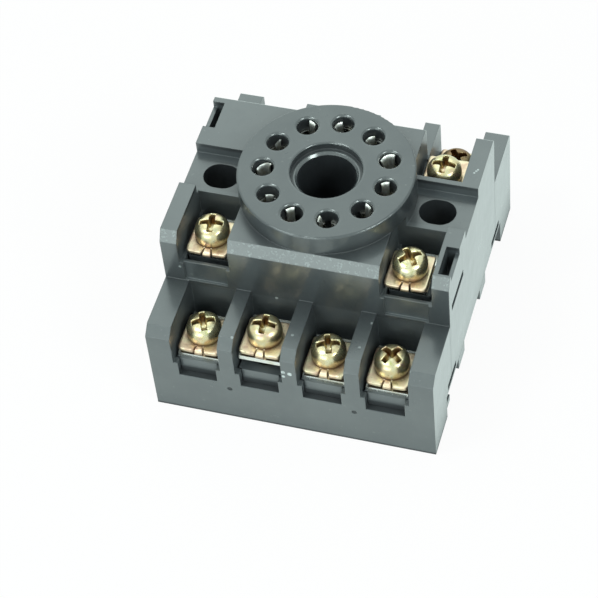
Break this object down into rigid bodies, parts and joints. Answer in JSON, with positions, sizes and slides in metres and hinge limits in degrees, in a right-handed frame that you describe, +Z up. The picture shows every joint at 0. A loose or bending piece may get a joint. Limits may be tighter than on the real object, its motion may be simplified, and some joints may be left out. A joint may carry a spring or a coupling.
{
  "type": "relay socket",
  "caption": "Two-tier black relay socket for a round keyed plug, with screw terminals at both ends, mounting slots and a sprung latch for a mounting rail.",
  "frame": {"origin": "middle of the underside, where the two feet stand", "axes": "+Z up out of the plug disc, +Y towards the end with the rail latch, +X to the right seen from the front end"},
  "size_m": [0.044, 0.05, 0.0313],
  "materials": {
    "black_plastic": "moulded black plastic, slight sheen",
    "latch_plastic": "moulded black plastic",
    "spring_steel": "drawn spring wire",
    "contact_silver": "silver-plated sheet",
    "washer_copper": "plated copper-coloured sheet",
    "screw_zinc": "yellow zinc plating"
  },
  "bodies": {
    "socket": {"housing": "black_plastic", "base": "black_plastic", "latch_springs": "spring_steel", "contact_front_low_1": "contact_silver", "contact_front_low_2": "contact_silver", "contact_front_low_3": "contact_silver", "contact_front_low_4": "contact_silver", "contact_front_high_1": "contact_silver", "contact_front_high_2": "contact_silver", "contact_rear_low_1": "contact_silver", "contact_rear_low_2": "contact_silver", "contact_rear_low_3": "contact_silver", "contact_rear_low_4": "contact_silver", "contact_rear_high_2": "contact_silver"},
    "washer_front_low_1": {"washer_front_low_1": "washer_copper"},
    "screw_front_low_1": {"screw_front_low_1": "screw_zinc"},
    "washer_front_low_2": {"washer_front_low_2": "washer_copper"},
    "screw_front_low_2": {"screw_front_low_2": "screw_zinc"},
    "washer_front_low_3": {"washer_front_low_3": "washer_copper"},
    "screw_front_low_3": {"screw_front_low_3": "screw_zinc"},
    "washer_front_low_4": {"washer_front_low_4": "washer_copper"},
    "screw_front_low_4": {"screw_front_low_4": "screw_zinc"},
    "washer_front_high_1": {"washer_front_high_1": "washer_copper"},
    "screw_front_high_1": {"screw_front_high_1": "screw_zinc"},
    "washer_front_high_2": {"washer_front_high_2": "washer_copper"},
    "screw_front_high_2": {"screw_front_high_2": "screw_zinc"},
    "washer_rear_low_1": {"washer_rear_low_1": "washer_copper"},
    "screw_rear_low_1": {"screw_rear_low_1": "screw_zinc"},
    "washer_rear_low_2": {"washer_rear_low_2": "washer_copper"},
    "screw_rear_low_2": {"screw_rear_low_2": "screw_zinc"},
    "washer_rear_low_3": {"washer_rear_low_3": "washer_copper"},
    "screw_rear_low_3": {"screw_rear_low_3": "screw_zinc"},
    "washer_rear_low_4": {"washer_rear_low_4": "washer_copper"},
    "screw_rear_low_4": {"screw_rear_low_4": "screw_zinc"},
    "washer_rear_high_2": {"washer_rear_high_2": "washer_copper"},
    "screw_rear_high_2": {"screw_rear_high_2": "screw_zinc"},
    "rail_latch": {"rail_latch": "latch_plastic"}
  },
  "joints": [
    {"name": "front_low_1_lift", "type": "slide", "parent": "socket", "child": "washer_front_low_1", "axis": [0, 0, 1], "range_m": [-0.0001, 0.00315]},
    {"name": "front_low_1_turn", "type": "hinge", "parent": "washer_front_low_1", "child": "screw_front_low_1", "pos_m": [-0.01455, -0.02, 0.01315], "axis": [0, 0, 1], "range_deg": [-74, 2270]},
    {"name": "front_low_2_lift", "type": "slide", "parent": "socket", "child": "washer_front_low_2", "axis": [0, 0, 1], "range_m": [-0.0001, 0.00315]},
    {"name": "front_low_2_turn", "type": "hinge", "parent": "washer_front_low_2", "child": "screw_front_low_2", "pos_m": [-0.00485, -0.02, 0.01515], "axis": [0, 0, 1], "range_deg": [-74, 2270]},
    {"name": "front_low_3_lift", "type": "slide", "parent": "socket", "child": "washer_front_low_3", "axis": [0, 0, 1], "range_m": [-0.0001, 0.00315]},
    {"name": "front_low_3_turn", "type": "hinge", "parent": "washer_front_low_3", "child": "screw_front_low_3", "pos_m": [0.00485, -0.02, 0.01315], "axis": [0, 0, 1], "range_deg": [-74, 2270]},
    {"name": "front_low_4_lift", "type": "slide", "parent": "socket", "child": "washer_front_low_4", "axis": [0, 0, 1], "range_m": [-0.00025, 0.003]},
    {"name": "front_low_4_turn", "type": "hinge", "parent": "washer_front_low_4", "child": "screw_front_low_4", "pos_m": [0.01455, -0.02, 0.0133], "axis": [0, 0, 1], "range_deg": [-182, 2162]},
    {"name": "front_high_1_lift", "type": "slide", "parent": "socket", "child": "washer_front_high_1", "axis": [0, 0, 1], "range_m": [-0.0001, 0.00315]},
    {"name": "front_high_1_turn", "type": "hinge", "parent": "washer_front_high_1", "child": "screw_front_high_1", "pos_m": [-0.01547, -0.0094, 0.02335], "axis": [0, 0, 1], "range_deg": [-74, 2270]},
    {"name": "front_high_2_lift", "type": "slide", "parent": "socket", "child": "washer_front_high_2", "axis": [0, 0, 1], "range_m": [-0.00015, 0.0031]},
    {"name": "front_high_2_turn", "type": "hinge", "parent": "washer_front_high_2", "child": "screw_front_high_2", "pos_m": [0.01498, -0.0094, 0.0234], "axis": [0, 0, 1], "range_deg": [-110, 2234]},
    {"name": "rear_low_1_lift", "type": "slide", "parent": "socket", "child": "washer_rear_low_1", "axis": [0, 0, 1], "range_m": [0, 0.00325]},
    {"name": "rear_low_1_turn", "type": "hinge", "parent": "washer_rear_low_1", "child": "screw_rear_low_1", "pos_m": [-0.01455, 0.02, 0.01305], "axis": [0, 0, 1], "range_deg": [-2, 2342]},
    {"name": "rear_low_2_lift", "type": "slide", "parent": "socket", "child": "washer_rear_low_2", "axis": [0, 0, 1], "range_m": [-0.0002, 0.00305]},
    {"name": "rear_low_2_turn", "type": "hinge", "parent": "washer_rear_low_2", "child": "screw_rear_low_2", "pos_m": [-0.00485, 0.02, 0.01325], "axis": [0, 0, 1], "range_deg": [-146, 2198]},
    {"name": "rear_low_3_lift", "type": "slide", "parent": "socket", "child": "washer_rear_low_3", "axis": [0, 0, 1], "range_m": [0, 0.00325]},
    {"name": "rear_low_3_turn", "type": "hinge", "parent": "washer_rear_low_3", "child": "screw_rear_low_3", "pos_m": [0.00485, 0.02, 0.01305], "axis": [0, 0, 1], "range_deg": [-2, 2342]},
    {"name": "rear_low_4_lift", "type": "slide", "parent": "socket", "child": "washer_rear_low_4", "axis": [0, 0, 1], "range_m": [-0.00015, 0.0031]},
    {"name": "rear_low_4_turn", "type": "hinge", "parent": "washer_rear_low_4", "child": "screw_rear_low_4", "pos_m": [0.01455, 0.02, 0.0132], "axis": [0, 0, 1], "range_deg": [-110, 2234]},
    {"name": "rear_high_2_lift", "type": "slide", "parent": "socket", "child": "washer_rear_high_2", "axis": [0, 0, 1], "range_m": [0, 0.00325]},
    {"name": "rear_high_2_turn", "type": "hinge", "parent": "washer_rear_high_2", "child": "screw_rear_high_2", "pos_m": [0.01547, 0.0094, 0.02325], "axis": [0, 0, 1], "range_deg": [-2, 2342]},
    {"name": "rail_latch_slide", "type": "slide", "parent": "socket", "child": "rail_latch", "axis": [0, 1, 0], "range_m": [0, 0.0018], "stiffness_N_per_m": 2500, "springref_m": -0.0012, "deforming": ["latch_springs"]}
  ],
  "couplings": [
    {"joint": "front_low_1_turn", "follows": "front_low_1_lift", "rad_per_m": 12566},
    {"joint": "front_low_2_turn", "follows": "front_low_2_lift", "rad_per_m": 12566},
    {"joint": "front_low_3_turn", "follows": "front_low_3_lift", "rad_per_m": 12566},
    {"joint": "front_low_4_turn", "follows": "front_low_4_lift", "rad_per_m": 12566},
    {"joint": "front_high_1_turn", "follows": "front_high_1_lift", "rad_per_m": 12566},
    {"joint": "front_high_2_turn", "follows": "front_high_2_lift", "rad_per_m": 12566},
    {"joint": "rear_low_1_turn", "follows": "rear_low_1_lift", "rad_per_m": 12566},
    {"joint": "rear_low_2_turn", "follows": "rear_low_2_lift", "rad_per_m": 12566},
    {"joint": "rear_low_3_turn", "follows": "rear_low_3_lift", "rad_per_m": 12566},
    {"joint": "rear_low_4_turn", "follows": "rear_low_4_lift", "rad_per_m": 12566},
    {"joint": "rear_high_2_turn", "follows": "rear_high_2_lift", "rad_per_m": 12566}
  ]
}
